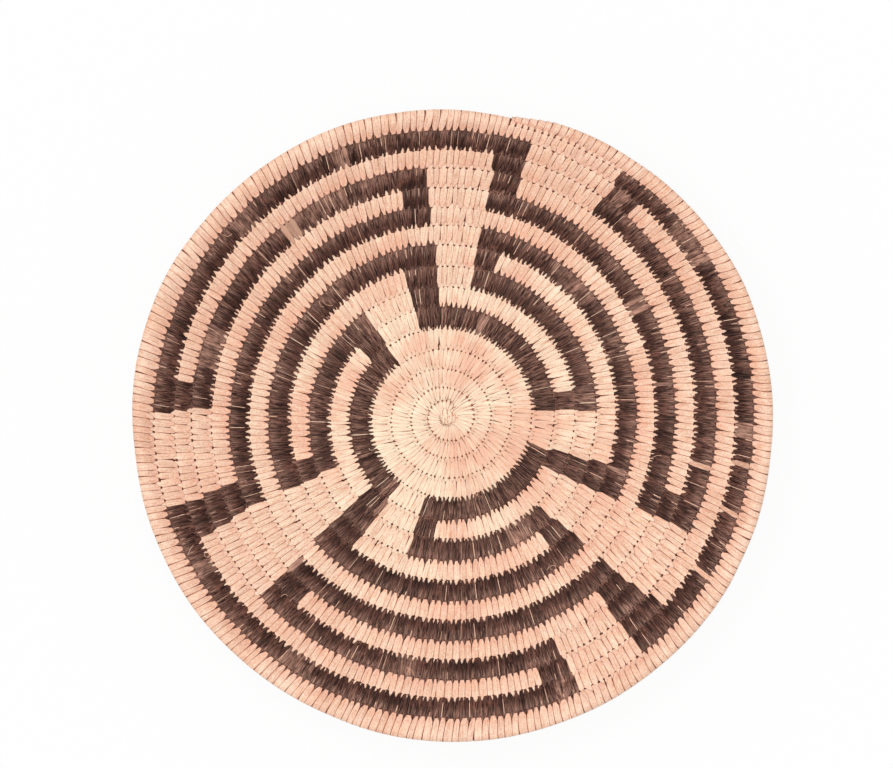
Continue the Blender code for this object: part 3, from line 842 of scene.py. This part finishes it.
def sew(name, plan, chosen, material, slot, *nodes):
    """A piece of all the chosen stitches of one turn, from the table with the changes that
    its turn asks for."""
    at_rim = plan["low"][chosen] > END_TURN - 1.0
    table = np.where(at_rim[:, None, None], RIM_WAY_SHARES, WAY_SHARES)
    if plan["number"] < INNER_TURNS:
        table[:, PIT_ROW, 3] = INNER_PIT_SHARE
        table[:, PIT_ROW - 1, 1] = ABOVE_PIT_SHARE
    if plan["number"] < POINTED_TURNS:
        table[:, :len(POINTED_SHARES), 3] *= POINTED_SHARES
    if plan["number"] == BLUNT_TURN:
        table[plan["over"][chosen], :len(BLUNT_SHARES), 3] *= BLUNT_SHARES
    if plan["number"] < FIRST_TURNS:
        half = coil_size(((plan["low"] + plan["high"]) / 2.0)[chosen])[1][:, None]
        place = table[..., 1]
        kept = np.maximum(1.0 - (1.0 - place) * FULL_HALF / half, KEPT_FROM)
        table[..., 1] = np.where(place > OUTER_ROWS_FROM, np.minimum(kept, place), place)
    points, way, pick = stitch_bands(plan, chosen, table)
    fade = fade_of(plan["number"], (pick["low"] + pick["high"]) / 2.0)
    piece = make_bands(
        name, points, way[..., None] / MM, (ACROSS + 1.0) / 2.0, material,
        seed=pick["seed"], tone=pick["tone"], fade=fade)
    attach(piece, "root")
    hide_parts(*nodes)
    return piece


for plan in plans:
    turn_name = "turn_%02d" % plan["number"]
    body = plan["low"] < BINDING_START_TURN - BINDING_MARGIN
    sew(turn_name + "_undyed_stitches", plan, ~plan["dark"] & body, undyed,
        "natural_splint", turn_name + "_natural_splint")
    if plan["dark"].any():
        sew(turn_name + "_dark_stitches", plan, plan["dark"], dyed, "dark_splint",
            turn_name + "_dark_splint")
    if not body.all():
        sew("rim_end_stitches", plan, ~body, undyed, "natural_splint", "rim_end_binding")

# %% [markdown]
# ## Pale splinters
#
# Between the dark stitches there is a thin pale line here and there: a sliver of undyed leaf
# that split off and was sewn in. A pale line in the material would lie on a stitch and not
# between two. So they are narrow bands, made by the same function from a short table, raised
# by a hair to lie on their neighbours' edges, and more than half of them short.

# %% Slivers in some of the gaps between dark stitches
SPLINTER_PLACES = np.array((-1.0, -0.75, -0.20, 0.30, 0.54, 0.68))
SPLINTER_TAPERS = np.array((0.25, 1.00, 0.95, 0.90, 0.60, 0.20))
SKIN_PLACES = (-1.00, -0.90, -0.30, 0.25, 0.48, 0.57, 0.70)
SKIN_LIFTS = (0.895, 0.905, 1.00, 0.99, 0.955, 0.93, 0.90)
SPLINTER_SHARE, SHORT_SHARE = 0.22, 0.55
SPLINTER_WIDTHS, SPLINTER_RAISE = (0.14 * MM, 0.38 * MM), 0.06 * MM
SHORT_LENGTHS = (0.25, 0.6)  # as a share of the whole
PAST_TIP = 2.0 * TIP_END
splinter_luck = np.random.default_rng(5)


def splinter_bands(plan):
    """Narrow bands that lie in some gaps of one turn: each is as wide as luck makes it and
    follows the mean lean of the two stitches beside it."""
    gap = np.flatnonzero(plan["dark"][:-1] & plan["dark"][1:])
    gap = gap[splinter_luck.random(len(gap)) < SPLINTER_SHARE]
    half = splinter_luck.uniform(*SPLINTER_WIDTHS, len(gap)) / 2.0 / plan["around"][gap]
    short = splinter_luck.random(len(gap)) < SHORT_SHARE
    length = np.where(short, splinter_luck.uniform(*SHORT_LENGTHS, len(gap)), 1.0)[:, None]
    place = SPLINTER_PLACES[-1] + (SPLINTER_PLACES - SPLINTER_PLACES[-1]) * length
    table = joined(0.0, place, np.interp(place, SKIN_PLACES, SKIN_LIFTS), SPLINTER_TAPERS)
    mean = {k: (plan[k][gap] + plan[k][gap + 1]) / 2.0
            for k in ("lean", "point", "aim", "back_point")}
    edge = plan["high"][gap]
    narrow = dict(number=plan["number"], low=edge - half, high=edge + half, gap=np.zeros(len(gap)),
                  reach=plan["reach"][gap], around=plan["around"][gap], **mean)
    return stitch_bands(narrow, np.ones(len(gap), bool), table, SPLINTER_RAISE)[:2]


def pale_splinters():
    """All turns' splinters as one piece. The way starts past the part that the undyed splint
    shows in shadow."""
    points, way = map(np.concatenate, zip(*(splinter_bands(p) for p in plans if p["dark"].any())))
    return make_bands("pale_splinters", points, way[..., None] / MM + PAST_TIP, 0.3 + 0.2 * ACROSS,
                      undyed, seed=splinter_luck.random(len(points)), tone=0.5)


splinters = pale_splinters()
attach(splinters, "root")
one_splinter = band_faces(1, len(SPLINTER_PLACES), len(ACROSS))
print("splinters:", len(splinters.data.polygons) // len(one_splinter))

# %% [markdown]
# ## Loose fibres
#
# A few fibres have come loose and curl up from the surface. Hair particles could do this, but
# there are only fifteen, so each is a thin square tube along an arc, from a short list.

# %% Fibres that curl up from the stitches
# turn, degrees, place across (mm), length (mm), heading (degrees), turning (degrees)
CURLS = (
    (14, 208.5, 3.9, 8.2, 20, 330), (14, 209.6, 3.0, 4.5, 100, -120),
    (15, 206.0, -3.0, 6.0, 10, 40), (9, 136.0, 1.5, 6.5, 150, 90),
    (9, 137.4, -2.0, 4.5, 40, -100), (9, 306.5, 2.5, 5.0, 200, 110),
    (9, 309.5, 3.5, 4.0, 60, 160), (5, 200.0, -3.8, 3.6, 80, 120),
    (2, 211.0, 3.4, 4.2, 60, 260), (7, 262.0, 3.8, 3.8, 120, -150),
    (11, 350.5, -1.0, 6.0, 175, 50), (13, 262.5, 2.5, 5.5, 190, 80),
    (15, 140.0, 2.8, 5.0, 170, 100), (12, 228.0, 3.6, 4.4, 250, 140),
    (16, 426.0, 0.5, 5.5, 30, 210),
)
CURL_STEPS, CURL_HALF, CURL_RISE = 14, 0.11 * MM, 0.5 * MM


def loose_fibres():
    """Square tubes along arcs, whose steps are summed to places across and along the coil. Each
    rises from the surface and sinks back like half a sine wave."""
    number, degrees, start, length, heading, turning = (
        np.array(column, float)[:, None] for column in zip(*CURLS))
    share = np.linspace(0.0, 1.0, CURL_STEPS)[None]
    angle = np.radians(heading + turning * share)
    step = length * MM / (CURL_STEPS - 1)
    out = start * MM + np.cumsum(np.cos(angle), axis=1) * step
    along = np.cumsum(np.sin(angle), axis=1) * step
    turn = turn_of(number, degrees)
    centre, half, thick = coil_size(turn)
    lift = thick * (0.98 - 0.10 * (out / half) ** 2) + CURL_RISE * np.sin(math.pi * share)
    side = np.array((-1.0, 0.0, 1.0, 0.0)) * CURL_HALF
    up = np.array((0.0, 1.0, 0.0, -1.0)) * CURL_HALF
    across = (centre + out)[..., None] - np.sin(angle)[..., None] * side
    around = (math.tau * radius_at(turn))[..., None]
    sideways = (along[..., None] + np.cos(angle)[..., None] * side) / around
    points = dish_point(across, lift[..., None] + up, turn[..., None] + sideways)
    return make_bands("loose_fibres", points, (share * 6.0)[..., None] + PAST_TIP,
                      0.5 + 0.0 * across, undyed, False, seed=number * 0.37 % 1.0, tone=0.5)


fibres = loose_fibres()
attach(fibres, "root")
print("loose fibres:", len(CURLS))

# %% [markdown]
# ## The knot
#
# The coil starts beside a small knot: splint wound a few times over the start of the bundle,
# in two lumps side by side. A ball with a twisted pattern would be quicker, but the strands
# catch the light one by one, so each is a band that goes right round its lump.

# %% The two lumps at the centre
# centre x and y, half width, half length (mm), strands
KNOT_LUMPS = ((-1.0, 1.9, 2.3, 6.0, 4), (3.3, 0.9, 2.1, 4.9, 3))
KNOT_MIDDLE, KNOT_HALF = 3.6 * MM, 3.6 * MM
KNOT_STEPS = 22
KNOT_TURN_DEGREES = (-86.0, 266.0)  # once round, but for a small gap at the bottom
STRAND_WIDTH_SHARE = 1.04
STRAND_SLANT = 0.16
# centre x and y, radius, middle height, half height (mm), and how near the poles the rings go
CORE = (0.8, 0.3, 5.0, 3.4, 3.1)
CORE_RINGS, CORE_COLUMNS, CORE_END = 12, 32, 0.46 * math.pi


def knot_strands(x, y, half, length, strands):
    """Bands round one lump, each an oval that starts and ends at the bottom. Strands towards
    the lump's sides are lower and shorter, and all draw together at the ends."""
    bend = np.radians(np.linspace(*KNOT_TURN_DEGREES, KNOT_STEPS))[None, :, None]
    place = ((np.arange(strands) + 0.5) / strands * 2.0 - 1.0)[:, None, None]
    size = np.sqrt(1.0 - 0.5 * place ** 2)
    draw = 1.0 - 0.16 * np.cos(bend) ** 2
    tuck = 0.14 * MM * np.abs(ACROSS) ** 3 + 0.05 * MM * np.arange(strands)[:, None, None]
    slant = STRAND_SLANT * np.cos(bend) * np.where(np.arange(strands) % 2, 1.0, -1.0)[:, None, None]
    across = x * MM + half * MM * (draw * (place + STRAND_WIDTH_SHARE * ACROSS / strands) + slant)
    deep = y * MM + (length * MM * size - tuck) * np.cos(bend)
    high = KNOT_MIDDLE + (KNOT_HALF * size - tuck) * np.sin(bend)
    return joined(across, deep, high)


def knot():
    """The strands of both lumps as one piece, with the way along each for its fibres."""
    points = np.concatenate([knot_strands(*lump) for lump in KNOT_LUMPS])
    way = running(np.linalg.norm(np.diff(points[:, :, 1], axis=1), axis=-1)) / MM
    seed = np.arange(len(points)) * 0.618 % 1.0
    return make_bands("starting_knot", points, way[..., None] + PAST_TIP, (ACROSS + 1.0) / 2.0,
                      twisted, seed=seed, tone=2.0 * seed - 0.5)


def knot_core():
    """A flattened ball of splint inside the strands: rings of points from the bottom pole to
    the top one, closed by a small cap at each."""
    x, y, reach, middle, half = (size * MM for size in CORE)
    rise = np.linspace(-CORE_END, CORE_END, CORE_RINGS)[:, None]
    angle = np.linspace(0.0, math.tau, CORE_COLUMNS, endpoint=False)[None]
    points = joined(x + reach * np.cos(rise) * np.cos(angle),
                    y + reach * np.cos(rise) * np.sin(angle), middle + half * np.sin(rise))
    uv = joined(8.0 + 3.0 * rise, 0.5 + 0.3 * np.cos(angle))
    return make_piece("knot_core", points, tube_faces(CORE_RINGS, CORE_COLUMNS), uv,
                      {"seed": 0.4, "tone": 0.0}, twisted)


for lump in (knot(), knot_core()):
    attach(lump, "root")
    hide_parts("start_knot")
print("knot strands:", sum(lump[-1] for lump in KNOT_LUMPS))

# %% [markdown]
# ## Floor, light and camera
#
# The tray lies on a plain floor, seen almost straight down through a long lens. The light is
# soft and even: a bright world and one broad lamp from the upper left. The floor shows as
# white to the camera, with a trace of the tray's shadow.

# %% Floor
FLOOR_REACH, FLOOR_DROP = 4.0, 0.3 * MM
FLOOR_GREY, FLOOR_ROUGHNESS, FLOOR_GLOW = (0.86, 0.86, 0.86, 1.0), 0.9, 0.93
WHITE = (1.0, 1.0, 1.0, 1.0)


def seen_share(tree):
    """1 for the rays of the camera, also by way of a gloss or glass, and 0 for the light's."""
    rays = tree.nodes.new("ShaderNodeLightPath").outputs
    seen = maths(tree, "MAXIMUM", rays["Is Camera Ray"], rays["Is Glossy Ray"])
    return maths(tree, "MAXIMUM", seen, rays["Is Transmission Ray"])


floor_mesh = bpy.data.meshes.new("floor")
floor_mesh.from_pydata([(x * FLOOR_REACH, y * FLOOR_REACH, -FLOOR_DROP) for x, y in
                        ((-1, -1), (1, -1), (1, 1), (-1, 1))], [], [(0, 1, 2, 3)])
floor = bpy.data.objects.new("floor", floor_mesh)
scene.collection.objects.link(floor)
paper, tree, shader = new_material("white_floor")
shader.inputs["Base Color"].default_value = FLOOR_GREY
shader.inputs["Roughness"].default_value = FLOOR_ROUGHNESS
glow = add(tree, "Emission", {"Color": WHITE, "Strength": 1.0})
mixed = add(tree, "MixShader", {0: times(tree, seen_share(tree), FLOOR_GLOW),
                                1: shader.outputs[0], 2: glow})
tree.links.new(mixed, tree.nodes["Material Output"].inputs["Surface"])
floor_mesh.materials.append(paper)

# %% Light
ROOM_LIGHT, ROOM_SEEN = 0.70, 1.0
LAMP_STRENGTH, LAMP_SPREAD, LAMP_TILT = 1.30, math.radians(50.0), math.radians(-12.0)
world = bpy.data.worlds.new("soft_room")
scene.world = world
world.use_nodes = True
tree = world.node_tree
room = tree.nodes["Background"]
strength = add(tree, "MapRange", {0: seen_share(tree), 3: ROOM_LIGHT, 4: ROOM_SEEN})
tree.links.new(strength, room.inputs["Strength"])
room.inputs["Color"].default_value = WHITE

lamp_data = bpy.data.lights.new("broad_lamp", "SUN")
lamp_data.energy = LAMP_STRENGTH
lamp_data.angle = LAMP_SPREAD
lamp = bpy.data.objects.new("broad_lamp", lamp_data)
lamp.rotation_euler = (LAMP_TILT, LAMP_TILT, 0.0)
scene.collection.objects.link(lamp)

# %% Camera
FRAME_WIDTH, SENSOR_WIDTH = 446.5 * MM, 36.0  # the sensor's is in mm
VIEW_DISTANCE, VIEW_TILT, VIEW_END = 3.75, math.radians(2.5), 50.0
VIEW_X, VIEW_Y = -0.25 * MM, 17.25 * MM
lens_data = bpy.data.cameras.new("long_lens")
lens_data.sensor_width = SENSOR_WIDTH
lens_data.lens = SENSOR_WIDTH * VIEW_DISTANCE / FRAME_WIDTH
lens_data.clip_end = VIEW_END
camera = bpy.data.objects.new("long_lens", lens_data)
camera.location = (VIEW_X, VIEW_Y + VIEW_DISTANCE * math.sin(VIEW_TILT),
                   VIEW_DISTANCE * math.cos(VIEW_TILT))
camera.rotation_euler = (-VIEW_TILT, 0.0, 0.0)
scene.collection.objects.link(camera)
scene.camera = camera
scene.view_settings.view_transform = "Standard"
